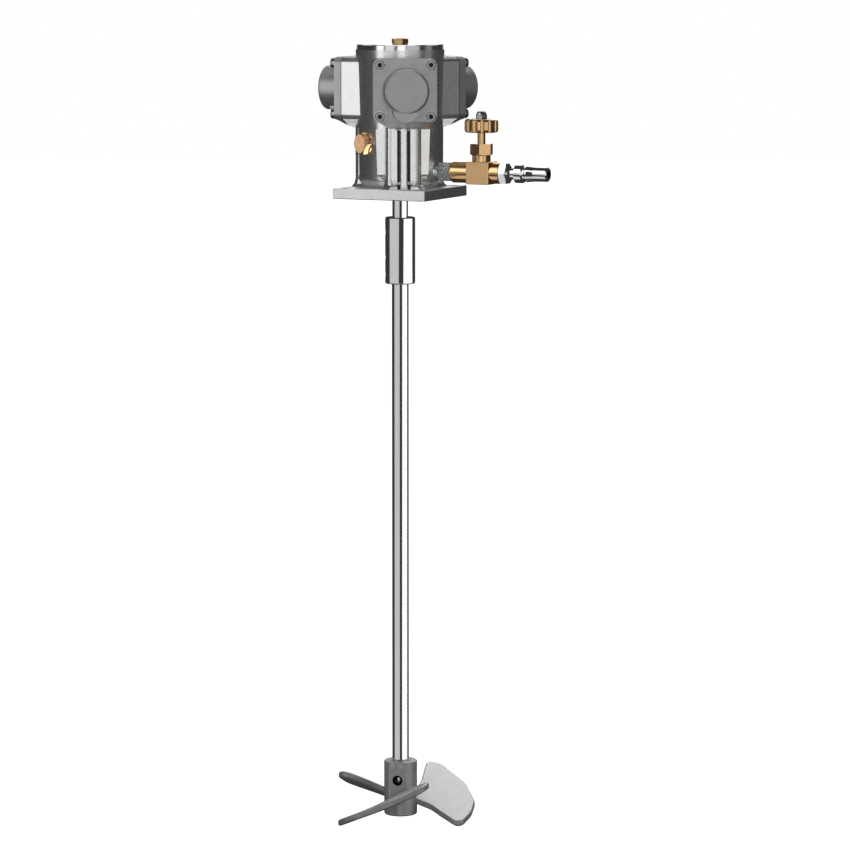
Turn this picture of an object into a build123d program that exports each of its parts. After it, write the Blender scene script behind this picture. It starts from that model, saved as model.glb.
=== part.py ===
"""Pneumatic tank agitator: three-cylinder radial air motor, stirring shaft and propeller.

Millimetres. The origin is the centre of the base plate's underside, on the shaft axis. +Z runs up
towards the motor and +X runs out along the air inlet. Angles are counter-clockwise from +X, seen
from above. Radial pieces are drawn pointing along +X and then turned into place.
"""

from build123d import *
import math
import os

# ---------------------------------------------------------------- driving dimensions
# base plate
PLATE_SIDE = 96
PLATE_THICK = 10
MOUNT_HOLE_R = 4.5
MOUNT_HOLE_PITCH = 76

# crankcase
CYLINDER_ANGLES = {"front": -60, "right": 60, "left": 180}
INLET_ANGLE = 0
OIL_PLUG_ANGLE = -120
EXHAUST_ANGLE = 120
CASE_TOP = 140
DRUM_TOP_R = 42
DRUM_FOOT_R = 39.5
DRUM_FOOT_ROUND = 10
FACET_R = 31.3
FACET_LOW = 17
COLUMN_HALF = 17
COLUMN_R = 41
RIB_HALF = 3.2
RIB_R = 43
GROOVE_OUT = 6.3
GROOVE_R = 36
CHAMBER_R = 24
CHAMBER_FLOOR = 42
VALVE_LINER_R = 15.5
SPOT_FACE_R = 38.6

# cylinders
BORE_Z = 103
BORE_R = 16
LINER_R = 18
BLOCK_SIDE = 60
BLOCK_CORNER = 7
BLOCK_FACE = 47.2
CHIN_R = 38
CHIN_HALF = 24
CHIN_LOW = 64
CHIN_LEVEL_END = 43
COVER_INNER = 48
COVER_OUTER = 55
SLOPE_TOP_Z = 74
BOSS_R = 21
BOSS_END = 77
HEAD_CAVITY_END = 61
HEAD_SCREW_OFFSET = 24
PASSAGE_R = 2
PASSAGE_Z = 78

# crank mechanism
CRANK_THROW = 8
ROD_LENGTH = 36
JOURNAL_R = 7.5
SHAFT_SHOULDER_R = 9.5
CRANKPIN_R = 6
WEB_R = 18.5
WEB_LOW = 88
WEB_THICK = 7
PISTON_CROWN = 13
PISTON_SKIRT = 7
RUNNING_GAP = 0.05

# ball bearings 15 x 32 x 9
BEARING_OUTER_R = 16
BEARING_WIDTH = 9
BALL_R = 2.38
BALL_PITCH_R = 11.75
BALL_COUNT = 8
LOWER_BEARING_Z = 10
UPPER_BEARING_Z = 124

# air inlet, along +X
INLET_Z = 25.4
NIPPLE_HEX_START = 41.7
VALVE_START = 55
VALVE_BLOCK_START = 72.9
VALVE_BLOCK_END = 95.9
VALVE_END = 105.5
VALVE_NECK_R = 10
VALVE_BLOCK_HALF = 10.65
STEM_X = 84.4
STEM_R = 3.75
GLAND_LOW = 41.7
GLAND_HIGH = 52.7
WHEEL_LOW = 63.2
WHEEL_HIGH = 75.9
WHEEL_R = 16
WHEEL_FLUTES = 14
PLUG_HEX_END = 112.6
PLUG_NOSE_START = 140
PLUG_NOSE_END = 153
PLUG_NOSE_R = 6.9

# drive below the plate
COUPLING_R = 14.35
COUPLING_TOP = -18.7
COUPLING_LOW = -82.2
SHAFT_MEET = -50.5
STIR_SHAFT_R = 8
STIR_SHAFT_END = -595
HUB_R = 16
HUB_TOP = -545
HUB_LOW = -598
HUB_SCREW_ANGLE = -78
BLADE_Z = -580.5
BLADE_ANGLES = (-86, 34, 154)
BLADE_AXIS_BACK = 100
BLADE_RISE = 70
BLADE_THICK = 6
SET_SCREW_ANGLE = -155


# ---------------------------------------------------------------- helpers
def disc(radius, low, high, x=0, y=0):
    """A cylinder along Z."""
    return Pos(x, y, (low + high) / 2) * Cylinder(radius, high - low)


def bar(radius, start, end, z=0, y=0):
    """A cylinder along X."""
    return Pos((start + end) / 2, y, z) * Rot(0, 90, 0) * Cylinder(radius, end - start)


def block(x0, x1, y0, y1, z0, z1):
    """A box between two corners."""
    return Pos((x0 + x1) / 2, (y0 + y1) / 2, (z0 + z1) / 2) * Box(x1 - x0, y1 - y0, z1 - z0)


def spun(points):
    """A ring or stepped shaft: (radius, height) points revolved about Z, without repeated points."""
    corners = [point for index, point in enumerate(points) if point != points[index - 1]]
    return revolve(make_face(Plane.XZ * Polyline(*corners, close=True)), Axis.Z)


def spun_x(points, z):
    """A turned piece along X: (distance along X, radius) points revolved about it."""
    around = spun([(radius, along) for along, radius in points])
    return Pos(0, 0, z) * Rot(0, 90, 0) * around


def turned(angle, shape):
    """The shape turned about the shaft axis."""
    return Rot(0, 0, angle) * shape


def hexagon(flats, low, high, low_cut=0.0, high_cut=0.8, spin=0):
    """A hexagonal head along Z, its corners cut back at either end."""
    corner = flats / math.sqrt(3)
    prism = Pos(0, 0, low) * extrude(
        RegularPolygon(flats / 2, 6, major_radius=False, rotation=spin), high - low
    )
    limit = spun(
        [
            (0, low),
            (corner - 2 * low_cut, low),
            (corner, low + low_cut),
            (corner, high - high_cut),
            (corner - 2 * high_cut, high),
            (0, high),
        ]
    )
    return prism & limit


def hexagon_x(flats, start, end, z, start_cut=0.8, end_cut=0.8):
    """A hexagonal head along X."""
    return Pos(0, 0, z) * Rot(0, 90, 0) * hexagon(flats, start, end, start_cut, end_cut, spin=30)


def group(pieces):
    """Separate solids of one node."""
    return Compound(children=[piece.solid() for piece in pieces])


def head_screw_places():
    """The (y, z) places of the four screws of a head cover."""
    return [
        (y, BORE_Z + z)
        for y in (-HEAD_SCREW_OFFSET, HEAD_SCREW_OFFSET)
        for z in (-HEAD_SCREW_OFFSET, HEAD_SCREW_OFFSET)
    ]


# ---------------------------------------------------------------- base plate
PLATE_SCREW_R = 28
PLATE_SCREW_END = 22
SCREW_M6 = 3
SEAL_R = 15
SEAL_DEPTH = 7


def base_plate():
    plate = block(-PLATE_SIDE / 2, PLATE_SIDE / 2, -PLATE_SIDE / 2, PLATE_SIDE / 2, 0, PLATE_THICK)
    plate = chamfer(plate.edges(), 0.6)
    plate -= disc(10, 0, PLATE_THICK)
    plate -= disc(SEAL_R, 0, SEAL_DEPTH)
    for x in (-1, 1):
        for y in (-1, 1):
            plate -= disc(
                MOUNT_HOLE_R, 0, PLATE_THICK, x * MOUNT_HOLE_PITCH / 2, y * MOUNT_HOLE_PITCH / 2
            )
    for angle in CYLINDER_ANGLES.values():
        hole = disc(SCREW_M6 + 0.3, 0, PLATE_THICK) + spun([(0, 0), (6.1, 0), (3, 3.1), (0, 3.1)])
        plate -= turned(angle, Pos(PLATE_SCREW_R, 0, 0) * hole)
    return plate


def base_plate_screws():
    screw = spun([(0, 0), (6, 0), (SCREW_M6, 3), (SCREW_M6, PLATE_SCREW_END), (0, PLATE_SCREW_END)])
    screw -= hexagon(4, 0, 2.4, 0, 0)
    return group([turned(a, Pos(PLATE_SCREW_R, 0, 0) * screw) for a in CYLINDER_ANGLES.values()])


# ---------------------------------------------------------------- crankcase casting
TOP_SCREW_R = 33
TOP_SCREW_ANGLES = (0, 120, 240)
SCREW_M5 = 2.5
HEAD_M5 = 5
SINK_M5 = 2.6
RISER_X = 36
FEED_Z = 35
INLET_THREAD_R = 6.5
OIL_PLUG_Z = 52
OIL_PLUG_SEAT = 39.3
OIL_THREAD_R = 6
EXHAUST_Z = 33


def drum():
    """The turned body with its bowl-like foot and slightly wider top."""
    foot_x = DRUM_FOOT_R - DRUM_FOOT_ROUND
    foot_z = PLATE_THICK + DRUM_FOOT_ROUND
    mid = DRUM_FOOT_ROUND * math.sqrt(0.5)
    outline = Polyline((foot_x, PLATE_THICK), (0, PLATE_THICK), (0, CASE_TOP), (DRUM_TOP_R, CASE_TOP),
                       (DRUM_FOOT_R, foot_z))
    outline += ThreePointArc((DRUM_FOOT_R, foot_z), (foot_x + mid, foot_z - mid), (foot_x, PLATE_THICK))
    return revolve(Plane.XZ * make_face(outline), Axis.Z)


def facet():
    """What is milled away under each cylinder, down to a flat that runs out in a curve."""
    cut = block(FACET_R, 60, -34, 34, FACET_LOW, CHIN_LOW + 2)
    edge = cut.edges().filter_by(Axis.Y).sort_by(Axis.Z)[:2].sort_by(Axis.X)[0]
    return fillet(edge, 8)


def column_layer(height, spread):
    """One level of the column's outline, spread outwards by so much."""
    out = COLUMN_R + spread
    half = COLUMN_HALF + spread
    corner = 6
    face = make_face(
        Polyline((25, -half), (out - corner, -half), (out, corner - half), (out, half - corner),
                 (out - corner, half), (25, half), close=True)
    )
    return Plane.XY.offset(height) * face


def column():
    """The ribbed column below a cylinder; its middle rib carries the air passage."""
    shaft = block(25, COLUMN_R, -COLUMN_HALF, COLUMN_HALF, PLATE_THICK, CHIN_LOW + 4)
    outer = shaft.edges().filter_by(Axis.Z).sort_by(Axis.X)[-2:]
    shaft = fillet(outer, 6)
    foot = loft([column_layer(PLATE_THICK, 3.5), column_layer(13, 1.4)])
    foot += loft([column_layer(13, 1.4), column_layer(20, 0)])
    shaft += foot
    for side in (-1, 1):
        inner = side * RIB_HALF
        outer_y = side * GROOVE_OUT
        shaft -= block(GROOVE_R, 50, min(inner, outer_y), max(inner, outer_y), PLATE_THICK, CHIN_LOW + 4)
    rib = block(25, RIB_R, -RIB_HALF, RIB_HALF, PLATE_THICK, CHIN_LOW + 4)
    rib = fillet(rib.edges().filter_by(Axis.Z).sort_by(Axis.X)[-2:], 1.2)
    return shaft + rib


def chin():
    """The rounded bulge that leads the column's passage out to the head cover."""
    side = make_face(
        Plane.XZ
        * Polyline((25, 90), (25, CHIN_LOW), (CHIN_LEVEL_END, CHIN_LOW), (BLOCK_FACE, slope_z(BLOCK_FACE)),
                   (BLOCK_FACE, 90), close=True)
    )
    return extrude(side, CHIN_HALF, both=True) & bar(CHIN_R, 20, 60, BORE_Z)


def slope_z(radius):
    """Height of the sloping underside of chin and head cover."""
    return SLOPE_TOP_Z - (COVER_OUTER - radius) * (SLOPE_TOP_Z - CHIN_LOW) / (COVER_OUTER - CHIN_LEVEL_END)


def cylinder_block():
    half = BLOCK_SIDE / 2
    body = block(20, BLOCK_FACE, -half, half, BORE_Z - half, BORE_Z + half)
    return fillet(body.edges().filter_by(Axis.X), BLOCK_CORNER)


def case_bores():
    """The stepped bore for bearing, valve liner and crank chamber."""
    return spun(
        [
            (0, PLATE_THICK - 1),
            (BEARING_OUTER_R, PLATE_THICK - 1),
            (BEARING_OUTER_R, LOWER_BEARING_Z + BEARING_WIDTH),
            (VALVE_LINER_R, LOWER_BEARING_Z + BEARING_WIDTH),
            (VALVE_LINER_R, CHAMBER_FLOOR),
            (CHAMBER_R, CHAMBER_FLOOR),
            (CHAMBER_R, CASE_TOP + 1),
            (0, CASE_TOP + 1),
        ]
    )


def crankcase():
    case = drum()
    for angle in CYLINDER_ANGLES.values():
        case -= turned(angle, facet())
    for angle in CYLINDER_ANGLES.values():
        case += turned(angle, column() + chin() + cylinder_block())
    case -= case_bores()
    for angle in CYLINDER_ANGLES.values():
        holes = bar(LINER_R, 15, 50, BORE_Z)
        holes += bar(PASSAGE_R, 15, RISER_X + PASSAGE_R, FEED_Z)
        holes += disc(PASSAGE_R, FEED_Z, PASSAGE_Z + PASSAGE_R, RISER_X)
        holes += bar(PASSAGE_R, RISER_X, 50, PASSAGE_Z)
        for y, z in head_screw_places():
            holes += bar(SCREW_M6 + RUNNING_GAP, 34, 50, z, y)
        holes += disc(SCREW_M6 + RUNNING_GAP, PLATE_THICK - 1, PLATE_SCREW_END + 2, PLATE_SCREW_R)
        case -= turned(angle, holes)
    for angle in TOP_SCREW_ANGLES:
        case -= turned(angle, disc(SCREW_M5 + RUNNING_GAP, 126, CASE_TOP + 1, TOP_SCREW_R))
    inlet = bar(9, SPOT_FACE_R, 50, INLET_Z) + bar(INLET_THREAD_R + RUNNING_GAP, 27, 50, INLET_Z)
    case -= turned(INLET_ANGLE, inlet + bar(3, 15, 30, INLET_Z))
    exhaust = bar(10, SPOT_FACE_R, 50, EXHAUST_Z) + bar(INLET_THREAD_R + RUNNING_GAP, 27, 50, EXHAUST_Z)
    case -= turned(EXHAUST_ANGLE, exhaust + bar(3, 15, 30, EXHAUST_Z))
    oil = bar(11, OIL_PLUG_SEAT, 50, OIL_PLUG_Z) + bar(OIL_THREAD_R + RUNNING_GAP, 20, 50, OIL_PLUG_Z)
    case -= turned(OIL_PLUG_ANGLE, oil)
    return case


# ---------------------------------------------------------------- top cover and plugs
TOP_COVER_THICK = 5
VENT_THREAD_R = 5


def top_cover():
    top = CASE_TOP + TOP_COVER_THICK
    spigot = CHAMBER_R - RUNNING_GAP
    seat_top = UPPER_BEARING_Z + BEARING_WIDTH
    cover = spun(
        [
            (0, seat_top + 3),
            (13, seat_top + 3),
            (13, seat_top),
            (BEARING_OUTER_R, seat_top),
            (BEARING_OUTER_R, UPPER_BEARING_Z - 2),
            (spigot, UPPER_BEARING_Z - 2),
            (spigot, CASE_TOP),
            (DRUM_TOP_R, CASE_TOP),
            (DRUM_TOP_R, top - 0.6),
            (DRUM_TOP_R - 0.6, top),
            (0, top),
        ]
    )
    cover -= disc(VENT_THREAD_R + RUNNING_GAP, seat_top, top)
    for angle in TOP_SCREW_ANGLES:
        hole = disc(SCREW_M5 + 0.3, CASE_TOP, top)
        hole += spun([(0, top - SINK_M5), (SCREW_M5, top - SINK_M5), (HEAD_M5 + 0.1, top), (0, top)])
        cover -= turned(angle, Pos(TOP_SCREW_R, 0, 0) * hole)
    return cover


def top_cover_screws():
    top = CASE_TOP + TOP_COVER_THICK
    screw = spun(
        [(0, 128), (SCREW_M5, 128), (SCREW_M5, top - SINK_M5), (HEAD_M5, top - 0.1), (0, top - 0.1)]
    )
    screw -= hexagon(3, top - 2.2, top, 0, 0)
    return group([turned(angle, Pos(TOP_SCREW_R, 0, 0) * screw) for angle in TOP_SCREW_ANGLES])


def vent_plug():
    top = CASE_TOP + TOP_COVER_THICK
    return hexagon(14, top, top + 5.5, 0.7, 1.0, spin=12) + disc(VENT_THREAD_R, top - 8, top)


def oil_plug():
    head = hexagon_x(18.5, OIL_PLUG_SEAT + 1.5, 46.7, OIL_PLUG_Z, 0.3, 1.0)
    return turned(OIL_PLUG_ANGLE, head + bar(OIL_THREAD_R, 27, OIL_PLUG_SEAT + 1.6, OIL_PLUG_Z))


def oil_plug_washer():
    ring = bar(10.4, OIL_PLUG_SEAT, OIL_PLUG_SEAT + 1.5, OIL_PLUG_Z)
    return turned(OIL_PLUG_ANGLE, ring - bar(OIL_THREAD_R + RUNNING_GAP, 35, 45, OIL_PLUG_Z))


# ---------------------------------------------------------------- cylinder heads
def head_outline(start, end):
    """The cover's plate: rounded square with a round tongue at its foot, cut by the slope."""
    half = BLOCK_SIDE / 2
    plate = block(start, end, -half, half, BORE_Z - half, BORE_Z + half)
    plate = fillet(plate.edges().filter_by(Axis.X), BLOCK_CORNER)
    tongue = block(start, end, -CHIN_HALF, CHIN_HALF, CHIN_LOW, BORE_Z) & bar(CHIN_R, start, end, BORE_Z)
    under = make_face(
        Plane.XZ * Polyline((40, 40), (40, slope_z(40)), (COVER_OUTER + 5, slope_z(COVER_OUTER + 5)),
                            (COVER_OUTER + 5, 40), close=True)
    )
    return (plate + tongue) - extrude(under, 40, both=True)


def head_holes():
    holes = bar(PASSAGE_R, 40, 58 + PASSAGE_R, PASSAGE_Z)
    for y, z in head_screw_places():
        holes += bar(SCREW_M6 + 0.3, 40, COVER_OUTER + 1, z, y)
    return holes


def head_cover():
    cover = head_outline(COVER_INNER, COVER_OUTER)
    boss = bar(BOSS_R, COVER_OUTER - 2, BOSS_END, BORE_Z)
    boss = fillet(boss.edges().sort_by(Axis.X)[-1], 2.2)
    drip = make_face(
        Plane.XZ * Polyline((50, 92), (50, 70), (59, 70), (62, 73.5), (68, 83), (68, 92), close=True)
    )
    drip = extrude(drip, 12, both=True) & bar(12, 45, 70, BORE_Z - BOSS_R + 3.5)
    cover += boss + (drip - bar(20, 45, 70, BORE_Z))
    cover -= bar(BORE_R, COVER_INNER - 1, HEAD_CAVITY_END, BORE_Z)
    cover -= disc(PASSAGE_R, PASSAGE_Z, 92, 58)
    return cover - head_holes()


def head_gasket():
    sheet = head_outline(BLOCK_FACE, COVER_INNER)
    return sheet - bar(BORE_R, 40, 60, BORE_Z) - head_holes()


def head_washers():
    ring = bar(5.1, COVER_OUTER, COVER_OUTER + 1.4) - bar(3.2, 50, 60)
    ring -= block(50, 60, 0, 6, -0.5, 0.5)
    return [Pos(0, y, z) * ring for y, z in head_screw_places()]


def head_screws():
    seat = COVER_OUTER + 1.4
    head = fillet(bar(4.7, seat, seat + 3.6).edges().sort_by(Axis.X)[-1], 0.8)
    head -= Rot(0, 90, 0) * hexagon(4, seat + 1.2, seat + 4, 0, 0)
    screw = head + bar(SCREW_M6, 36, seat + 0.1)
    return [Pos(0, y, z) * screw for y, z in head_screw_places()]


def cylinder_liner():
    return bar(LINER_R, CHAMBER_R, BLOCK_FACE, BORE_Z) - bar(BORE_R, 15, 60, BORE_Z)


# ---------------------------------------------------------------- pistons
def wrist_pin_radius(cylinder_angle):
    """How far the wrist pin stands from the shaft axis with the crank at rest on the front cylinder."""
    lead = math.radians(CYLINDER_ANGLES["front"] - cylinder_angle)
    across = CRANK_THROW * math.sin(lead)
    return CRANK_THROW * math.cos(lead) + math.sqrt(ROD_LENGTH**2 - across**2)


def piston(pin_x):
    crown = pin_x + PISTON_CROWN
    skirt = pin_x - PISTON_SKIRT
    body = bar(BORE_R - RUNNING_GAP, skirt, crown, BORE_Z)
    body -= bar(12, skirt, crown - 5, BORE_Z)
    body -= bar(BORE_R + 1, crown - 4, crown - 2, BORE_Z) - bar(14.2, crown - 4, crown - 2, BORE_Z)
    return body - disc(3, BORE_Z - 20, BORE_Z + 20, pin_x)


def piston_ring(pin_x):
    crown = pin_x + PISTON_CROWN
    ring = bar(BORE_R - RUNNING_GAP, crown - 4, crown - 2, BORE_Z) - bar(14.2, crown - 5, crown, BORE_Z)
    return ring - block(crown - 5, crown, -0.3, 0.3, BORE_Z, BORE_Z + 20)


def wrist_pin(pin_x):
    return disc(3, BORE_Z - 15, BORE_Z + 15, pin_x)


# ---------------------------------------------------------------- bearings, seal, rotary valve
RACE_GAP = 0.07


def race_groove(z):
    return Pos(0, 0, z) * Torus(BALL_PITCH_R, BALL_R + RACE_GAP)


def bearing_outer(low):
    ring = disc(BEARING_OUTER_R, low, low + BEARING_WIDTH) - disc(13.6, low, low + BEARING_WIDTH)
    return ring - race_groove(low + BEARING_WIDTH / 2)


def bearing_inner(low):
    ring = disc(9.9, low, low + BEARING_WIDTH) - disc(JOURNAL_R, low, low + BEARING_WIDTH)
    return ring - race_groove(low + BEARING_WIDTH / 2)


def bearing_balls(low):
    """The balls and the cage that spaces them."""
    middle = low + BEARING_WIDTH / 2
    cage = disc(12.7, middle - 3.2, middle + 3.2) - disc(10.8, middle - 3.2, middle + 3.2)
    balls = []
    for index in range(BALL_COUNT):
        angle = index * 360 / BALL_COUNT
        balls.append(turned(angle, Pos(BALL_PITCH_R, 0, middle) * Sphere(BALL_R)))
        cage -= turned(angle, bar(BALL_R + RACE_GAP, 8, 15, middle))
    return group([*balls, cage])


def shaft_seal():
    return spun(
        [(15, 0.5), (15, 6.5), (13.5, 6.5), (13.5, 2.2), (9.5, 2.2), (8.4, 5.2), (JOURNAL_R + 0.05, 4.6),
         (JOURNAL_R + 0.05, 4.0), (8.2, 0.5)]
    )


def valve_liner():
    liner = disc(VALVE_LINER_R, 19, CHAMBER_FLOOR) - disc(13, 19, CHAMBER_FLOOR)
    liner -= turned(INLET_ANGLE, bar(3, 10, 20, INLET_Z))
    liner -= turned(EXHAUST_ANGLE, bar(3, 10, 20, EXHAUST_Z))
    for angle in CYLINDER_ANGLES.values():
        liner -= turned(angle, bar(PASSAGE_R, 10, 20, FEED_Z))
    return liner


def rotary_valve():
    """The sleeve on the crankshaft that feeds each cylinder in turn."""
    sleeve = spun([(JOURNAL_R, 19), (9.4, 19), (9.4, 22), (12.95, 22), (12.95, 40), (JOURNAL_R, 40)])
    sleeve -= disc(14, 23, 29) - disc(10.4, 23, 29)
    feed = block(0, 14, -14, 14, 28, 38) - disc(10.4, 20, 40)
    vent = block(-14, -2, -14, 14, 31, 38) - disc(10.4, 20, 40)
    return sleeve - turned(CYLINDER_ANGLES["front"], feed) - turned(CYLINDER_ANGLES["front"], vent)


# ---------------------------------------------------------------- crankshaft
def crank_web(low):
    """A cheek with the pin's boss on one side and the counterweight on the other."""
    high = low + WEB_THICK
    weight = disc(WEB_R, low, high) & block(-20, 2, -20, 20, low, high)
    arm = block(0, CRANK_THROW, -8.5, 8.5, low, high) + disc(8.5, low, high, CRANK_THROW)
    return weight + arm


def crankshaft():
    pin_low = WEB_LOW + WEB_THICK
    pin_high = pin_low + 16
    shaft = disc(JOURNAL_R, SHAFT_MEET + 0.5, 41) + disc(SHAFT_SHOULDER_R, 40, WEB_LOW + 1)
    shaft += crank_web(WEB_LOW) + crank_web(pin_high)
    shaft += disc(CRANKPIN_R, pin_low - 1, pin_high + 1, CRANK_THROW)
    shaft += disc(9.4, pin_high + WEB_THICK - 1, UPPER_BEARING_Z)
    shaft += disc(JOURNAL_R, UPPER_BEARING_Z - 1, UPPER_BEARING_Z + BEARING_WIDTH + 1)
    return turned(CYLINDER_ANGLES["front"], shaft)


# ---------------------------------------------------------------- air inlet
def inlet_nipple():
    body = bar(INLET_THREAD_R, 29, NIPPLE_HEX_START + 1, INLET_Z)
    body += hexagon_x(17, NIPPLE_HEX_START, VALVE_START, INLET_Z, 1.2, 1.2)
    body += bar(5.5, VALVE_START - 1, 66, INLET_Z)
    return body - bar(3, 28, 67, INLET_Z)


def valve_body():
    low = INLET_Z - VALVE_BLOCK_HALF
    high = INLET_Z + VALVE_BLOCK_HALF
    body = spun_x(
        [(VALVE_START, 0), (VALVE_START, VALVE_NECK_R - 1.2), (VALVE_START + 1.2, VALVE_NECK_R),
         (VALVE_END - 0.8, VALVE_NECK_R), (VALVE_END, VALVE_NECK_R - 0.8), (VALVE_END, 0)],
        INLET_Z,
    )
    cube = block(VALVE_BLOCK_START, VALVE_BLOCK_END, -VALVE_BLOCK_HALF, VALVE_BLOCK_HALF, low, high)
    body += chamfer(cube.edges(), 0.4)
    body += disc(8.75, high - 1, GLAND_LOW, STEM_X)
    body -= bar(5.55, VALVE_START - 1, 67, INLET_Z)
    body -= bar(5.55, VALVE_END - 12, VALVE_END + 1, INLET_Z)
    body -= bar(2.2, 66, STEM_X, INLET_Z + 3)
    body -= bar(2.2, STEM_X, 94, INLET_Z - 3.2)
    body -= disc(2.7, INLET_Z - 4, 27, STEM_X)
    body -= disc(4.2, 26, 35, STEM_X)
    return body - disc(6.05, 34, GLAND_LOW + 1, STEM_X)


def gland_nut():
    nut = hexagon(19.6, GLAND_LOW, GLAND_HIGH, 1.3, 0.5, spin=-17)
    nut += disc(6, 35, GLAND_LOW + 0.5)
    return Pos(STEM_X, 0, 0) * (nut - disc(STEM_R + 0.08, 30, 60))


def valve_stem():
    """The spindle with its needle tip; the wheel's nut sits on its upper end."""
    tip = 24.8
    shoulder = 31.8
    top = 80
    stem = spun(
        [(0, tip), (0.8, tip), (3.5, shoulder), (STEM_R, shoulder + 0.4), (STEM_R, top), (0, top)]
    )
    return Pos(STEM_X, 0, 0) * stem


def handwheel():
    knob = disc(WHEEL_R, WHEEL_LOW, WHEEL_HIGH)
    knob = fillet(knob.edges(), 3)
    for index in range(WHEEL_FLUTES):
        flute = disc(1.9, WHEEL_LOW, WHEEL_HIGH, WHEEL_R + 0.7)
        knob -= turned((index + 0.5) * 360 / WHEEL_FLUTES, flute)
    knob -= disc(10.5, WHEEL_HIGH - 1.5, WHEEL_HIGH) - disc(6.5, WHEEL_HIGH - 1.5, WHEEL_HIGH)
    return Pos(STEM_X, 0, 0) * (knob - disc(STEM_R + 0.08, WHEEL_LOW - 1, WHEEL_HIGH + 1))


def handwheel_nut():
    """A domed nut with a screwdriver slot."""
    nut = hexagon(10, WHEEL_HIGH, 83, 0, 0) & spun(
        [(0, WHEEL_HIGH), (5.8, WHEEL_HIGH), (5.8, 79), (4.2, 82.2), (3.2, 83), (0, 83)]
    )
    nut -= block(-7, 7, -0.8, 0.8, 81.2, 84)
    return Pos(STEM_X, 0, 0) * (nut - disc(STEM_R + 0.08, WHEEL_HIGH - 1, 80.6))


def quick_plug():
    body = spun_x(
        [
            (VALVE_END - 11, 0), (VALVE_END - 11, 5.5), (VALVE_END, 5.5), (VALVE_END, 7),
            (PLUG_HEX_END, 9.5), (115.7, 5.6), (119.9, 5.6), (120.5, 8.75), (127.4, 8.75),
            (128.9, 7.2), (130.2, 7.2), (131.6, 7.7), (PLUG_NOSE_START, PLUG_NOSE_R),
            (PLUG_NOSE_END - 0.9, PLUG_NOSE_R), (PLUG_NOSE_END, 6), (PLUG_NOSE_END, 0),
        ],
        INLET_Z,
    )
    body += hexagon_x(19, VALVE_END, PLUG_HEX_END, INLET_Z, 0.6, 1.0)
    return body - bar(3.75, 90, PLUG_NOSE_END + 1, INLET_Z)


# ---------------------------------------------------------------- exhaust
def exhaust_silencer():
    """A sintered bronze silencer on a hexagonal foot."""
    body = bar(INLET_THREAD_R, 29, SPOT_FACE_R + 1, EXHAUST_Z)
    body += hexagon_x(17, SPOT_FACE_R, 45, EXHAUST_Z, 0.6, 1.0)
    barrel = bar(7.4, 44, 66, EXHAUST_Z)
    body += fillet(barrel.edges().sort_by(Axis.X)[-1], 4)
    return turned(EXHAUST_ANGLE, body - bar(4.5, 28, 60, EXHAUST_Z))


# ---------------------------------------------------------------- coupling and stirring shaft
COUPLING_SCREWS = ((-33, JOURNAL_R), (-57, STIR_SHAFT_R), (-74, STIR_SHAFT_R))


def coupling():
    low, high = COUPLING_LOW, COUPLING_TOP
    sleeve = spun(
        [(0, low), (COUPLING_R - 1, low), (COUPLING_R, low + 1), (COUPLING_R, high - 1),
         (COUPLING_R - 1, high), (0, high)]
    )
    sleeve -= disc(JOURNAL_R, SHAFT_MEET, high) + disc(STIR_SHAFT_R, low, SHAFT_MEET)
    for z, _ in COUPLING_SCREWS:
        sleeve -= turned(SET_SCREW_ANGLE, bar(SCREW_M6 + RUNNING_GAP, 5, 20, z))
    return sleeve


def set_screw(start, length, radius, z):
    """A headless screw pointing along X with a hexagonal socket in its outer end."""
    end = start + length
    return bar(radius, start, end, z) - hexagon_x(radius, end - radius, end, z, 0, 0)


def coupling_set_screws():
    return group([turned(SET_SCREW_ANGLE, set_screw(r, 5.4, SCREW_M6, z)) for z, r in COUPLING_SCREWS])


def agitator_shaft():
    end = STIR_SHAFT_END
    return spun(
        [(0, end), (STIR_SHAFT_R - 1, end), (STIR_SHAFT_R, end + 1), (STIR_SHAFT_R, SHAFT_MEET - 1),
         (STIR_SHAFT_R - 1, SHAFT_MEET), (0, SHAFT_MEET)]
    )


# ---------------------------------------------------------------- propeller
HUB_FLAT_X = 13.9
HUB_SCREW_R = 5
HUB_SCREW_Z = HUB_TOP - 17.9
BLADE_FAN = 27
BLADE_STEPS = 5
BLADE_REACHES = (4, 29, 54, 79)
BLADE_EDGE_ROUND = 2
# corners of the blade's plan as (reach, sideways, rounding), from the hub round the leading corner
BLADE_CORNERS = (
    (10, -6, 0),
    (10, 0, 0),
    (22, 14, 25),
    (33, 44, 6),
    (47, 40.5, 12),
    (66, 13, 25),
    (70.5, -17, 14),
    (64, -33, 20),
    (50, -48.5, 7),
    (27, -17.5, 30),
)


def screw_section(reach):
    """The twisted plate cut square to the blade's middle line at a distance from the hub's axis."""
    upper = []
    lower = []
    for step in range(BLADE_STEPS):
        turn = math.radians(BLADE_FAN * (2 * step / (BLADE_STEPS - 1) - 1))
        radius = (reach + BLADE_AXIS_BACK) / math.cos(turn)
        half = BLADE_THICK / 2 * math.sqrt(1 + (BLADE_RISE / radius) ** 2)
        sideways = (reach + BLADE_AXIS_BACK) * math.tan(turn)
        upper.append((reach, sideways, BLADE_RISE * turn + half))
        lower.append((reach, sideways, BLADE_RISE * turn - half))
    edges = Spline(*upper) + Line(upper[-1], lower[-1])
    edges += Spline(*reversed(lower)) + Line(lower[0], upper[0])
    return make_face(edges)


def blade_outline():
    """The ear-shaped plan of a blade, narrow at the hub, with a blunt leading and trailing corner."""
    plan = make_face(Polyline(*[(reach, sideways) for reach, sideways, _ in BLADE_CORNERS], close=True))
    for reach, sideways, rounding in BLADE_CORNERS:
        if rounding:
            corner = plan.vertices().sort_by_distance((reach, sideways, 0))[0]
            plan = fillet(corner, rounding)
    return plan


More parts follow.
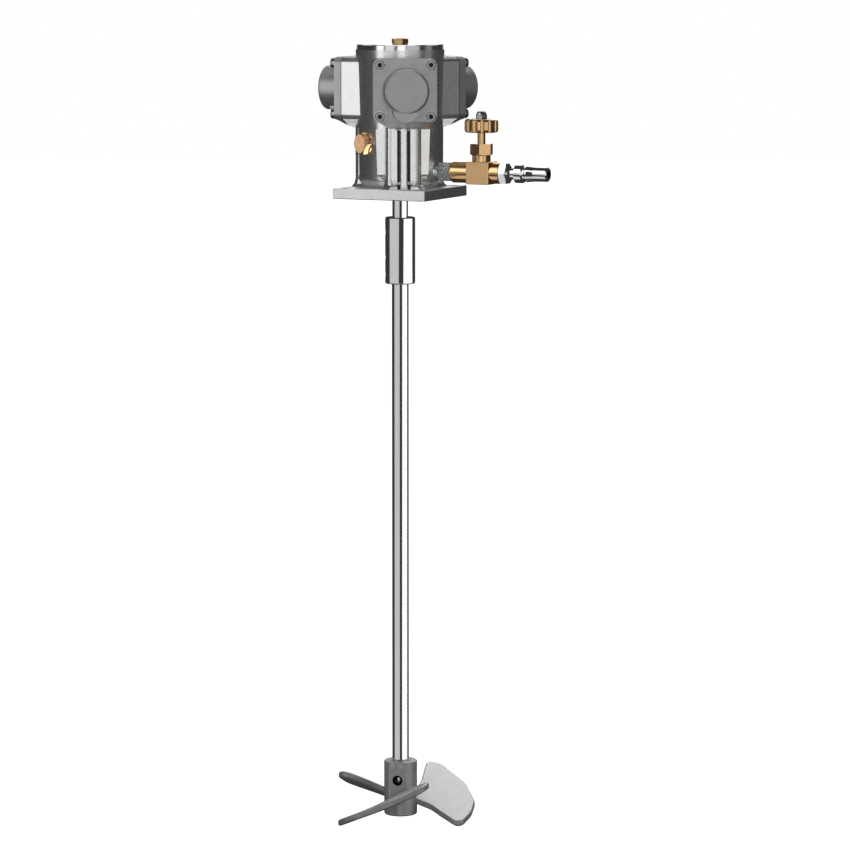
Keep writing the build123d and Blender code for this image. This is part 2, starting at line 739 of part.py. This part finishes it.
def blade():
    """A twisted plate trimmed to the plan, its edges rounded, the root left square inside the hub."""
    plate = loft([screw_section(reach) for reach in BLADE_REACHES])
    body = plate & extrude(blade_outline(), 60, both=True)
    rim = [edge for edge in body.edges() if edge.center().X > HUB_R and abs(edge.tangent_at(0.5).Z) < 0.9]
    return Pos(0, 0, BLADE_Z) * fillet(rim, BLADE_EDGE_ROUND)


def propeller():
    hub = fillet(disc(HUB_R, HUB_LOW, HUB_TOP).edges(), 1.5)
    flat = block(HUB_FLAT_X, 20, -8, 8, HUB_LOW + 12, HUB_TOP - 13) + bar(8, HUB_FLAT_X, 20, HUB_TOP - 13)
    hub -= turned(HUB_SCREW_ANGLE, flat)
    for angle in BLADE_ANGLES:
        hub += turned(angle, blade())
    hub -= disc(STIR_SHAFT_R, HUB_LOW - 1, HUB_TOP + 1)
    return hub - turned(HUB_SCREW_ANGLE, bar(HUB_SCREW_R + RUNNING_GAP, 5, 20, HUB_SCREW_Z))


def propeller_set_screw():
    return turned(HUB_SCREW_ANGLE, set_screw(STIR_SHAFT_R, 3.4, HUB_SCREW_R, HUB_SCREW_Z))


# ---------------------------------------------------------------- the assembly
def all_nodes():
    nodes = {
        "base_plate": base_plate(),
        "base_plate_screws": base_plate_screws(),
        "shaft_seal": shaft_seal(),
        "crankcase": crankcase(),
        "lower_bearing_outer_ring": bearing_outer(LOWER_BEARING_Z),
        "lower_bearing_inner_ring": bearing_inner(LOWER_BEARING_Z),
        "lower_bearing_balls": bearing_balls(LOWER_BEARING_Z),
        "upper_bearing_outer_ring": bearing_outer(UPPER_BEARING_Z),
        "upper_bearing_inner_ring": bearing_inner(UPPER_BEARING_Z),
        "upper_bearing_balls": bearing_balls(UPPER_BEARING_Z),
        "valve_liner": valve_liner(),
        "rotary_valve": rotary_valve(),
        "crankshaft": crankshaft(),
        "top_cover": top_cover(),
        "top_cover_screws": top_cover_screws(),
        "vent_plug": vent_plug(),
        "oil_plug": oil_plug(),
        "oil_plug_washer": oil_plug_washer(),
        "exhaust_silencer": exhaust_silencer(),
        "inlet_nipple": inlet_nipple(),
        "needle_valve_body": valve_body(),
        "gland_nut": gland_nut(),
        "valve_stem": valve_stem(),
        "handwheel": handwheel(),
        "handwheel_nut": handwheel_nut(),
        "quick_plug": quick_plug(),
        "coupling": coupling(),
        "coupling_set_screws": coupling_set_screws(),
        "agitator_shaft": agitator_shaft(),
        "propeller": propeller(),
        "propeller_set_screw": propeller_set_screw(),
    }
    for side, angle in CYLINDER_ANGLES.items():
        pin_x = wrist_pin_radius(angle)
        nodes[f"cylinder_liner_{side}"] = turned(angle, cylinder_liner())
        nodes[f"head_gasket_{side}"] = turned(angle, head_gasket())
        nodes[f"head_cover_{side}"] = turned(angle, head_cover())
        nodes[f"head_washers_{side}"] = group([turned(angle, ring) for ring in head_washers()])
        nodes[f"head_screws_{side}"] = group([turned(angle, screw) for screw in head_screws()])
        nodes[f"piston_{side}"] = turned(angle, piston(pin_x))
        nodes[f"piston_ring_{side}"] = turned(angle, piston_ring(pin_x))
        nodes[f"wrist_pin_{side}"] = turned(angle, wrist_pin(pin_x))
    return nodes


os.makedirs("parts", exist_ok=True)
for name, shape in all_nodes().items():
    export_step(shape, f"parts/{name}.step")
    print(name)
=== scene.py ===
"""Pneumatic tank agitator, dressed for rendering.

Metres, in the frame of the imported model: +Z up the shaft, +X out along the air inlet. The sections
follow the agitator as it is put together, from the base plate up and then down the shaft.
"""

import math

import bpy
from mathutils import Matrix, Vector


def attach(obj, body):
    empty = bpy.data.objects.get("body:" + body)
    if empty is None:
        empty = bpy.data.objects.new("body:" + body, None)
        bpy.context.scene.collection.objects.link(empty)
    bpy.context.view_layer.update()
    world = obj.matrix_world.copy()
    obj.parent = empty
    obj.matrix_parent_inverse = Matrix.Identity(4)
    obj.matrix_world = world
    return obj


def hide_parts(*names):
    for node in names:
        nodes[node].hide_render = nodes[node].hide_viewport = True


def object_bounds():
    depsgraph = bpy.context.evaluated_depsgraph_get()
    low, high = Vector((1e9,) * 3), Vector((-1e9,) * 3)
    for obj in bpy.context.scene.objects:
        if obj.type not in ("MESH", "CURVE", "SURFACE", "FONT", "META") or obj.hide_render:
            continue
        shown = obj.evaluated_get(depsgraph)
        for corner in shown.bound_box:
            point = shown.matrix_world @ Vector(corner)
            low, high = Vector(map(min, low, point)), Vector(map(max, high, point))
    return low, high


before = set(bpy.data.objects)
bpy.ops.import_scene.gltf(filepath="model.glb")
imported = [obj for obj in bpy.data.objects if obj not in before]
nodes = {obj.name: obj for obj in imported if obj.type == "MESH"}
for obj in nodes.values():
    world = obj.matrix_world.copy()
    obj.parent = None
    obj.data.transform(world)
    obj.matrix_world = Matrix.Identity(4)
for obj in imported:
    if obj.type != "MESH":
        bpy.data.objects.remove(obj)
cad_low, cad_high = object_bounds()

# ---------------------------------------------------------------- base plate
# A square of steel plate, 10 mm thick, sawn and brushed along one side. The motor is screwed down on
# it, and its four corner holes take the mixer to a tank lid.
MM = 0.001


class Wire:
    """A shader socket that Python arithmetic adds Math nodes to."""

    def __init__(self, finish, socket):
        self.finish = finish
        self.socket = socket

    def math(self, operation, *others):
        node = self.finish.add("ShaderNodeMath", {"operation": operation}, (self, *others))
        return Wire(self.finish, node.outputs[0])

    def __add__(self, other):
        return self.math("ADD", other)

    def __sub__(self, other):
        return self.math("SUBTRACT", other)

    def __mul__(self, other):
        return self.math("MULTIPLY", other)

    def clamped(self, low, high, to_low=0.0, to_high=1.0):
        """Mapped from one range to another and held inside it."""
        node = self.finish.add(
            "ShaderNodeMapRange", {"clamp": True}, {"Value": self, "From Min": low, "From Max": high,
                                                    "To Min": to_low, "To Max": to_high}
        )
        return Wire(self.finish, node.outputs[0])


class Finish:
    """One material: a Principled surface and the nodes that feed it."""

    def __init__(self, name, colour, metallic, roughness):
        self.material = bpy.data.materials.new(name)
        self.material.use_nodes = True
        self.tree = self.material.node_tree
        self.surface = self.tree.nodes["Principled BSDF"]
        self.surface.inputs["Base Color"].default_value = (*colour, 1)
        self.surface.inputs["Metallic"].default_value = metallic
        self.surface.inputs["Roughness"].default_value = roughness
        self.place = self.add("ShaderNodeTexCoord", {}, {}).outputs["Object"]

    def add(self, kind, settings, values):
        """Any node: its settings first, then the values or links of its sockets."""
        node = self.tree.nodes.new(kind)
        for key, value in settings.items():
            setattr(node, key, value)
        pairs = values.items() if isinstance(values, dict) else enumerate(values)
        for key, value in pairs:
            self.join(node.inputs[key], value)
        return node

    def join(self, socket, value):
        if isinstance(value, Wire):
            value = value.socket
        if isinstance(value, bpy.types.NodeSocket):
            self.tree.links.new(value, socket)
        else:
            socket.default_value = value

    def feed(self, **inputs):
        """Feeds the surface's own sockets."""
        for key, value in inputs.items():
            self.join(self.surface.inputs[key.replace("_", " ")], value)

    def scaled(self, x, y, z):
        """The object's own coordinates, stretched along each axis."""
        node = self.add("ShaderNodeMapping", {}, {"Vector": self.place, "Scale": (x, y, z)})
        return node.outputs[0]

    def noise(self, scale, detail=3.0, vector=None):
        sockets = {"Vector": vector or self.place, "Scale": scale, "Detail": detail}
        node = self.add("ShaderNodeTexNoise", {}, sockets)
        return Wire(self, node.outputs["Fac"])

    def mixed(self, share, first, second):
        """A colour between two colours; the Mix node keeps its colour sockets at these numbers."""
        node = self.add("ShaderNodeMix", {"data_type": "RGBA"}, {"Factor": share})
        for socket, colour in ((6, first), (7, second)):
            self.join(node.inputs[socket], (*colour, 1) if isinstance(colour, tuple) else colour)
        return node.outputs[2]

    def bump(self, height, distance):
        node = self.add("ShaderNodeBump", {}, {"Height": height, "Distance": distance, "Strength": 1.0})
        self.join(self.surface.inputs["Normal"], node.outputs[0])


WELD_WITHIN = 0.002 * MM


def dressed(node, material, body, crisp=30.0):
    """A copy of a CAD node with its facets joined, shaded round where they meet at less than crisp."""
    piece = nodes[node].copy()
    piece.data = nodes[node].data.copy()
    piece.parent = None
    piece.name = f"{node}_finish"
    for key in list(piece.keys()):
        del piece[key]
    bpy.context.scene.collection.objects.link(piece)
    bpy.ops.object.select_all(action="DESELECT")
    bpy.context.view_layer.objects.active = piece
    piece.select_set(True)
    bpy.ops.mesh.customdata_custom_splitnormals_clear()
    bpy.ops.object.mode_set(mode="EDIT")
    bpy.ops.mesh.select_all(action="SELECT")
    bpy.ops.mesh.remove_doubles(threshold=WELD_WITHIN)
    bpy.ops.object.mode_set(mode="OBJECT")
    bpy.ops.object.shade_smooth_by_angle(angle=math.radians(crisp))
    weighted = piece.modifiers.new("normals", "WEIGHTED_NORMAL")
    weighted.keep_sharp = True
    bpy.ops.object.modifier_apply(modifier="normals")
    piece.data.materials.clear()
    piece.data.materials.append(material)
    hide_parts(node)
    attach(piece, body)
    piece.select_set(False)
    return piece


plate = Finish("brushed_plate", (0.62, 0.62, 0.61), 0.75, 0.42)
strokes = plate.noise(60, 4, plate.scaled(1.5, 40, 40))
plate.feed(Base_Color=plate.mixed(strokes, (0.52, 0.52, 0.52), (0.78, 0.78, 0.77)),
           Roughness=strokes.clamped(0.3, 0.7, 0.34, 0.52))
plate.bump(strokes, 0.05 * MM)
dressed("base_plate", plate.material, "motor")

# ---------------------------------------------------------------- plate screws and shaft seal
# Three countersunk steel screws come up through the plate into the casting. A nitrile lip seal is
# pressed into the plate from below and keeps the oil off the shaft.
zinc = Finish("bright_zinc", (0.62, 0.65, 0.67), 1.0, 0.24)
cloud = zinc.noise(350, 3)
zinc.feed(Base_Color=zinc.mixed(cloud, (0.48, 0.51, 0.54), (0.78, 0.80, 0.81)),
          Roughness=cloud.clamped(0.3, 0.7, 0.16, 0.34))
zinc.bump(cloud, 0.003 * MM)
seal = Finish("nitrile_rubber", (0.02, 0.02, 0.02), 0.0, 0.6)
seal.bump(seal.noise(900, 2), 0.02 * MM)
dressed("base_plate_screws", zinc.material, "motor")
dressed("shaft_seal", seal.material, "motor")

# ---------------------------------------------------------------- crankcase
# One aluminium casting: a drum with three cylinder blocks, ribbed columns below them and a bowl-like
# foot. It is shot blasted, so it has a fine even grain over the soft swells of the sand mould.
SIDES = {"front": -60, "right": 60, "left": 180}


def outward_at(angle):
    """The way a cylinder points, at its angle round the shaft."""
    return Vector((math.cos(math.radians(angle)), math.sin(math.radians(angle)), 0))


cast = Finish("cast_aluminium", (0.7, 0.7, 0.69), 0.92, 0.4)
grain = cast.noise(1400, 2)
swell = cast.noise(140, 3)
cast.feed(Roughness=grain.clamped(0.3, 0.7, 0.2, 0.32))
cast.bump(grain * 0.06 + swell, 0.04 * MM)

# Painted shade: the floors of the two grooves beside each column's rib are painted near black low down,
# fading out towards the top.
SHADE_FROM = 30 * MM
GROOVE_REACH = 37.5 * MM
GROOVE_IN = 3.0 * MM
GROOVE_OUT = 6.5 * MM
FADE = 0.4 * MM
SHADE_TOP = 69 * MM
SHADE_FULL_BELOW = 66 * MM
place = cast.add("ShaderNodeSeparateXYZ", {}, {"Vector": cast.place})
east, north, height = (Wire(cast, socket) for socket in place.outputs)
groove_shade = 0.0
for angle in SIDES.values():
    out = outward_at(angle)
    reach = east * out.x + north * out.y
    across = (north * out.x - east * out.y).math("ABSOLUTE")
    in_groove = (reach.clamped(SHADE_FROM, SHADE_FROM + 0.5 * MM)
                 * reach.clamped(GROOVE_REACH, GROOVE_REACH - MM)
                 * across.clamped(GROOVE_IN, GROOVE_IN + FADE)
                 * across.clamped(GROOVE_OUT, GROOVE_OUT - FADE))
    groove_shade = in_groove + groove_shade
low_down = height.clamped(SHADE_TOP, SHADE_FULL_BELOW)
painted_groove_shade = groove_shade * low_down
clean = cast.mixed(swell, (0.64, 0.64, 0.64), (0.76, 0.76, 0.75))
# The casting's colour, with the painted shade of the grooves mixed in.
cast.feed(Base_Color=cast.mixed(painted_groove_shade, clean, (0.02, 0.02, 0.02)))
dressed("crankcase", cast.material, "motor", crisp=32)

# ---------------------------------------------------------------- bearings and rotary valve
# Two deep-groove ball bearings carry the crankshaft, and a ground sleeve on it turns in a bronze
# liner to feed each cylinder. All of it is shut inside the casting.
ground = Finish("ground_steel", (0.62, 0.62, 0.63), 1.0, 0.2)
rings = ground.noise(900, 2, ground.scaled(0.3, 0.3, 6))
ground.feed(Roughness=rings.clamped(0.3, 0.7, 0.14, 0.28))
bronze = Finish("turned_bronze", (0.55, 0.38, 0.2), 1.0, 0.4)
speck = bronze.noise(2200, 2)
bronze.feed(Base_Color=bronze.mixed(speck, (0.42, 0.27, 0.12), (0.68, 0.5, 0.28)),
            Roughness=speck.clamped(0.3, 0.7, 0.3, 0.55))
bronze.bump(speck, 0.15 * MM)


def put_on(material, *names):
    """Gives CAD nodes that stay as they are their material."""
    for name in names:
        nodes[name].data.materials.clear()
        nodes[name].data.materials.append(material)


for end in ("lower", "upper"):
    put_on(ground.material, *[f"{end}_bearing_{kind}" for kind in ("outer_ring", "inner_ring", "balls")])
put_on(ground.material, "rotary_valve")
put_on(bronze.material, "valve_liner")

# ---------------------------------------------------------------- crankshaft
# Ground stainless steel with its throw and counterweights inside the casting; its lower end comes
# out through the plate and into the coupling.
shaft = Finish("ground_stainless", (0.78, 0.78, 0.78), 1.0, 0.1)
turning = shaft.noise(500, 2, shaft.scaled(0.15, 0.15, 8))
shaft.feed(Roughness=turning.clamped(0.3, 0.7, 0.07, 0.13))
dressed("crankshaft", shaft.material, "rotor")

# ---------------------------------------------------------------- pistons, liners and rings
# Turned aluminium pistons, each with a steel ring and a wrist pin, in ground steel liners pressed
# into the casting. None of it can be seen from outside.
turned_alloy = Finish("turned_aluminium", (0.7, 0.7, 0.7), 1.0, 0.3)
lathe = turned_alloy.noise(700, 2)
turned_alloy.feed(Roughness=lathe.clamped(0.3, 0.7, 0.24, 0.4))
for side in SIDES:
    put_on(turned_alloy.material, f"piston_{side}")
    put_on(ground.material, f"piston_ring_{side}", f"wrist_pin_{side}", f"cylinder_liner_{side}")

# ---------------------------------------------------------------- top cover
# A turned steel disc with the upper bearing in its spigot, polished on the rim and the face. Three
# countersunk screws hold it, and the floors of their hexagon sockets carry painted shade, a near-black
# material.
polished = Finish("polished_disc", (0.74, 0.74, 0.74), 1.0, 0.14)
lines = polished.noise(800, 2, polished.scaled(0.2, 0.2, 5))
polished.feed(Roughness=lines.clamped(0.3, 0.7, 0.1, 0.2))
# Painted shade for the socket floors: a near-black material.
socket_shade = Finish("painted_socket_shade", (0.03, 0.03, 0.03), 0.2, 0.5)
socket_shade.feed(Roughness=socket_shade.noise(900, 2).clamped(0.3, 0.7, 0.4, 0.6))
TOP_SOCKET_DEPTH = 2.1 * MM


def darken_sockets(piece, outward, depth, material):
    """Paints shade on the floors of hexagon sockets, which lie a little below the screws' ends, by giving
    them a near-black material.
    """
    along = [vertex.co.dot(outward) for vertex in piece.data.vertices]
    end = max(along)
    piece.data.materials.append(material)
    for face in piece.data.polygons:
        sunk = end - face.center.dot(outward)
        if face.normal.dot(outward) > 0.95 and 0.2 * depth < sunk < 1.5 * depth:
            face.material_index = 1


dressed("top_cover", polished.material, "motor")
top_screws = dressed("top_cover_screws", zinc.material, "motor")
darken_sockets(top_screws, Vector((0, 0, 1)), TOP_SOCKET_DEPTH, socket_shade.material)

# ---------------------------------------------------------------- brass plugs
# Hexagonal brass plugs: the vent on the top cover, and low on the casting the oil plug, which looks
# copper plated, on its washer.
brass = Finish("turned_brass", (0.8, 0.55, 0.3), 1.0, 0.24)
stain = brass.noise(160, 3)
cut_lines = brass.noise(900, 2, brass.scaled(6, 0.4, 0.4))
brass.feed(Base_Color=brass.mixed(stain, (0.76, 0.48, 0.235), (0.88, 0.57, 0.29)),
           Roughness=cut_lines.clamped(0.3, 0.7, 0.17, 0.25))
brass.bump(cut_lines, 0.0002 * MM)
copper = Finish("copper_plated_brass", (0.72, 0.42, 0.22), 1.0, 0.22)
copper.feed(Roughness=copper.noise(260, 3).clamped(0.3, 0.7, 0.16, 0.34))
dressed("vent_plug", brass.material, "motor")
dressed("oil_plug", copper.material, "motor")
dressed("oil_plug_washer", brass.material, "motor")

# ---------------------------------------------------------------- cylinder heads
# Cast covers with a round boss over each bore, on oiled paper gaskets. Four zinc-plated cap screws
# hold each one, with a spring washer under every head.
cover = Finish("cast_cover", (0.6, 0.6, 0.6), 0.75, 0.4)
fine = cover.noise(1600, 2)
broad = cover.noise(120, 3)
cover.feed(Base_Color=cover.mixed(broad, (0.56, 0.56, 0.56), (0.68, 0.68, 0.67)),
           Roughness=fine.clamped(0.3, 0.7, 0.34, 0.5))
cover.bump(fine * 0.2 + broad, 0.04 * MM)
dull = Finish("dull_zinc", (0.3, 0.31, 0.32), 1.0, 0.28)
dull.feed(Roughness=dull.noise(700, 2).clamped(0.3, 0.7, 0.22, 0.36))
paper = Finish("oiled_paper", (0.12, 0.12, 0.11), 0.0, 0.7)
paper.bump(paper.noise(1200, 2), 0.03 * MM)
HEAD_SOCKET_DEPTH = 2.4 * MM
for side in SIDES:
    dressed(f"head_gasket_{side}", paper.material, "motor")
    dressed(f"head_cover_{side}", cover.material, "motor")
    dressed(f"head_washers_{side}", zinc.material, "motor")
    screws = dressed(f"head_screws_{side}", dull.material, "motor")
    # The head screws' socket floors get the same painted shade.
    darken_sockets(screws, outward_at(SIDES[side]), HEAD_SOCKET_DEPTH, socket_shade.material)

# ---------------------------------------------------------------- exhaust silencer
# A cup of sintered bronze beads on a hexagonal foot. It screws into the back of the casting, where
# the photo doesn't show it.
dressed("exhaust_silencer", bronze.material, "motor")

# ---------------------------------------------------------------- air inlet
# A zinc-plated nipple, a forged brass needle valve with its gland nut, and a chromed quick plug,
# screwed together in line along +X.
chrome = Finish("chrome_plate", (0.8, 0.8, 0.8), 1.0, 0.08)
chrome.feed(Roughness=chrome.noise(300, 2).clamped(0.3, 0.7, 0.05, 0.12))
dressed("inlet_nipple", zinc.material, "motor")
dressed("needle_valve_body", brass.material, "motor")
dressed("gland_nut", brass.material, "motor")
dressed("quick_plug", chrome.material, "motor")

# ---------------------------------------------------------------- valve stem and handwheel
# The brass stem rises through the gland nut as it is unscrewed. The fluted brass wheel is held on it
# by a zinc-plated domed nut.
dressed("valve_stem", brass.material, "valve_stem")
dressed("handwheel", brass.material, "handwheel")
dressed("handwheel_nut", zinc.material, "handwheel")

# ---------------------------------------------------------------- coupling and stirring shaft
# A bored stainless sleeve holds the motor shaft and the stirring shaft end to end, with black set
# screws. The shaft is bright ground bar.
black = Finish("black_oxide", (0.02, 0.02, 0.02), 0.6, 0.4)
black.feed(Roughness=black.noise(600, 2).clamped(0.3, 0.7, 0.3, 0.5))
dressed("coupling", shaft.material, "rotor")
dressed("coupling_set_screws", black.material, "rotor")
dressed("agitator_shaft", shaft.material, "rotor")

# ---------------------------------------------------------------- propeller
# A casting in stainless steel, bead blasted: a hub with three ear-shaped blades, held on the shaft
# by one black set screw.
blasted = Finish("blasted_stainless", (0.5, 0.5, 0.5), 0.5, 0.5)
bead = blasted.noise(1500, 2)
wave = blasted.noise(90, 3)
blasted.feed(Base_Color=blasted.mixed(wave, (0.46, 0.46, 0.46), (0.54, 0.54, 0.54)),
             Roughness=bead.clamped(0.3, 0.7, 0.42, 0.58))
blasted.bump(bead * 0.2 + wave, 0.06 * MM)
dressed("propeller", blasted.material, "rotor", crisp=40)
dressed("propeller_set_screw", black.material, "rotor")

# ---------------------------------------------------------------- floor
# A plain pale floor a hand's breadth below the propeller. It glows, so that it stays as white as the
# photo's ground, and is hidden from reflections so that its glow doesn't light the steel.
FLOOR_DROP = 0.15
FLOOR_RADIUS = 14
FLOOR_GLOW = 1.1
bpy.ops.mesh.primitive_circle_add(
    vertices=96, radius=FLOOR_RADIUS, fill_type="NGON", location=(0, 0, cad_low.z - FLOOR_DROP)
)
floor = bpy.context.object
floor.name = "floor"
pale = Finish("pale_floor", (0.93, 0.93, 0.93), 0.0, 0.9)
pale.surface.inputs["Emission Color"].default_value = (1, 1, 1, 1)
pale.surface.inputs["Emission Strength"].default_value = FLOOR_GLOW
pale.bump(pale.noise(20, 2), 0.2 * MM)
floor.data.materials.append(pale.material)
floor.visible_glossy = False
floor.visible_diffuse = False

# ---------------------------------------------------------------- light
# A white backdrop in a dim room, and thirty softboxes. All but the two high ones at the back reach
# only one group of pieces. Their places and strengths were set by trial to match the photo, and the
# two under the motor and the two on the nipple cast no shadow, which no real lamp does.
ROOM_LIGHT = 0.045
BACKDROP = 1.0
world = bpy.context.scene.world or bpy.data.worlds.new("studio")
bpy.context.scene.world = world
world.use_nodes = True
world_nodes = world.node_tree.nodes
world_links = world.node_tree.links
room = world_nodes["Background"]
room.inputs["Color"].default_value = (1, 1, 1, 1)
rays = world_nodes.new("ShaderNodeLightPath")
share = world_nodes.new("ShaderNodeMapRange")
share.inputs["To Min"].default_value = ROOM_LIGHT
share.inputs["To Max"].default_value = BACKDROP
world_links.new(rays.outputs["Is Camera Ray"], share.inputs["Value"])
world_links.new(share.outputs[0], room.inputs["Strength"])


def lit_group(name, *nodes_lit):
    """The finished pieces that a lamp with this group reaches."""
    group = bpy.data.collections.new(name)
    for node in nodes_lit:
        group.objects.link(bpy.data.objects[f"{node}_finish"])
    return group


turned_steel = lit_group("turned_steel", "coupling", "coupling_set_screws", "agitator_shaft", "crankshaft")
fittings = lit_group("fittings", "vent_plug", "oil_plug", "oil_plug_washer", "needle_valve_body",
                     "gland_nut", "valve_stem", "handwheel", "handwheel_nut", "quick_plug")
body = lit_group("body", "crankcase", "top_cover")
plate_only = lit_group("plate_only", "base_plate")
nipple = lit_group("nipple", "inlet_nipple")
tops = lit_group("tops", "top_cover", "base_plate", "handwheel")
stirrer = lit_group("stirrer", "propeller")
castings = lit_group("castings", "base_plate", "base_plate_screws", "shaft_seal", "top_cover_screws",
                     "crankcase", "top_cover", "exhaust_silencer",
                     *[f"{kind}_{side}" for side in SIDES
                       for kind in ("head_cover", "head_screws", "head_washers", "head_gasket")])
CAMERA_TURN = 24.8


def softbox(name, turn, height, distance, width, tall, radiance, group=None, aim=(0, 0, 0)):
    """A rectangular lamp, turned so many degrees round the shaft from the camera's side (negative is
    to the left), at a height and a distance from the shaft, as wide and tall as said, and so bright."""
    lamp = bpy.data.lights.new(name, "AREA")
    lamp.shape = "RECTANGLE"
    lamp.size = width
    lamp.size_y = tall
    lamp.energy = radiance * math.pi * width * tall
    angle = math.radians(CAMERA_TURN - 90 + turn)
    spot = bpy.data.objects.new(name, lamp)
    spot.location = (distance * math.cos(angle), distance * math.sin(angle), height)
    spot.rotation_euler = (Vector(aim) - spot.location).to_track_quat("-Z", "Y").to_euler()
    bpy.context.scene.collection.objects.link(spot)
    if group:
        spot.light_linking.receiver_collection = group
    return spot


softbox("cast_key", -52, 0.2, 1.6, 0.55, 1.8, 1.45, castings)
softbox("cast_front", 4, 0.3, 4.4, 1.6, 2.6, 1.3, castings)
softbox("cast_right", 80, 0.2, 1.8, 0.7, 1.8, 0.2, castings)
softbox("cast_top", 0, 1.7, 0.5, 1.4, 1.4, 1.2, castings)
softbox("cast_low", 4, -1.7, 1.3, 1.2, 1.0, 1.6, castings)
softbox("chin_back", 180, -1.1, 1.4, 1.4, 1.4, 0.8, body).data.use_shadow = False
softbox("chin_front", 4, -1.9, 1.6, 1.6, 1.6, 3.4, body).data.use_shadow = False
softbox("fill_left", -26, 0.25, 1.7, 0.75, 1.2, 0.85, body)
softbox("fill_right", 34, 0.25, 1.7, 1.1, 1.2, 0.55, body)
softbox("plate_key", -50, -0.2, 1.4, 0.9, 0.7, 0.9, plate_only)
softbox("plate_top", -50, 1.9, 0.9, 1.2, 1.2, 2.6, plate_only)
softbox("low_back", 180, 0.35, 2.2, 2.6, 0.6, 1.2, tops)
softbox("cast_back", 180, 1.1, 2.2, 1.4, 0.8, 1.8, castings)
softbox("back_left", -140, 1.8, 1.8, 0.9, 0.9, 0.8)
softbox("back_right", 140, 1.8, 1.8, 0.9, 0.9, 0.8)
softbox("steel_left", -49, -0.2, 1.5, 2.4, 2.6, 0.62, turned_steel)
softbox("steel_right", 66, -0.2, 1.5, 2.5, 2.6, 1.3, turned_steel)
softbox("fit_key", -56, 0.95, 1.5, 1.0, 1.55, 1.7, fittings)
softbox("fit_face", -50, -0.08, 1.6, 0.8, 0.26, 0.72, fittings)
softbox("fit_low", -60, -1.15, 1.1, 1.2, 0.9, 0.7, fittings)
softbox("nipple_key", -62, 0, 1.2, 1.4, 4.2, 1.0, nipple).data.use_shadow = False
softbox("nipple_front", 10, 0.1, 2.0, 2.4, 2.4, 2.0, nipple).data.use_shadow = False
softbox("fit_back", 180, 0.8, 1.7, 2.2, 1.6, 1.3, fittings)
softbox("fit_front", -4, 0.3, 4.4, 3.4, 2.6, 1.0, fittings)
softbox("fit_right", 40, 0.2, 1.6, 0.9, 0.9, 0.85, fittings)
softbox("fit_side", -108, 0.1, 1.5, 0.9, 0.9, 0.9, fittings)
STIR = (0, 0, -0.58)
softbox("stir_front", 0, -1.0, 3.9, 2.6, 2.4, 1.45, stirrer, STIR)
softbox("stir_left", -60, -0.4, 1.6, 1.0, 1.4, 1.3, stirrer, STIR)
softbox("stir_right", 60, -0.4, 1.6, 1.0, 1.4, 1.3, stirrer, STIR)
softbox("stir_top", 170, 0.9, 0.8, 1.6, 1.4, 2.7, stirrer, STIR)

# ---------------------------------------------------------------- camera
# A long lens, far off and a little above the motor, looking slightly down on it as the photo does.
# TURN is its angle round the shaft and DIP how far it looks down, both in degrees.
CAMERA_REACH = 3.6
CAMERA_ASIDE = 0.0236
CAMERA_HEIGHT = 0.2429
CAMERA_DIP = 7.3
LENS = 160.5
turn = math.radians(CAMERA_TURN)
dip = math.radians(CAMERA_DIP)
aside = Vector((math.cos(turn), math.sin(turn), 0))
look = Vector((-math.sin(turn) * math.cos(dip), math.cos(turn) * math.cos(dip), -math.sin(dip)))
lens = bpy.data.cameras.new("camera")
lens.lens = LENS
lens.sensor_width = 36
lens.clip_end = 60
camera = bpy.data.objects.new("camera", lens)
camera.location = Vector((math.sin(turn), -math.cos(turn), 0)) * CAMERA_REACH + aside * CAMERA_ASIDE
camera.location.z = CAMERA_HEIGHT
camera.rotation_euler = look.to_track_quat("-Z", "Y").to_euler()
bpy.context.scene.collection.objects.link(camera)
bpy.context.scene.camera = camera
bpy.context.scene.view_settings.view_transform = "Standard"
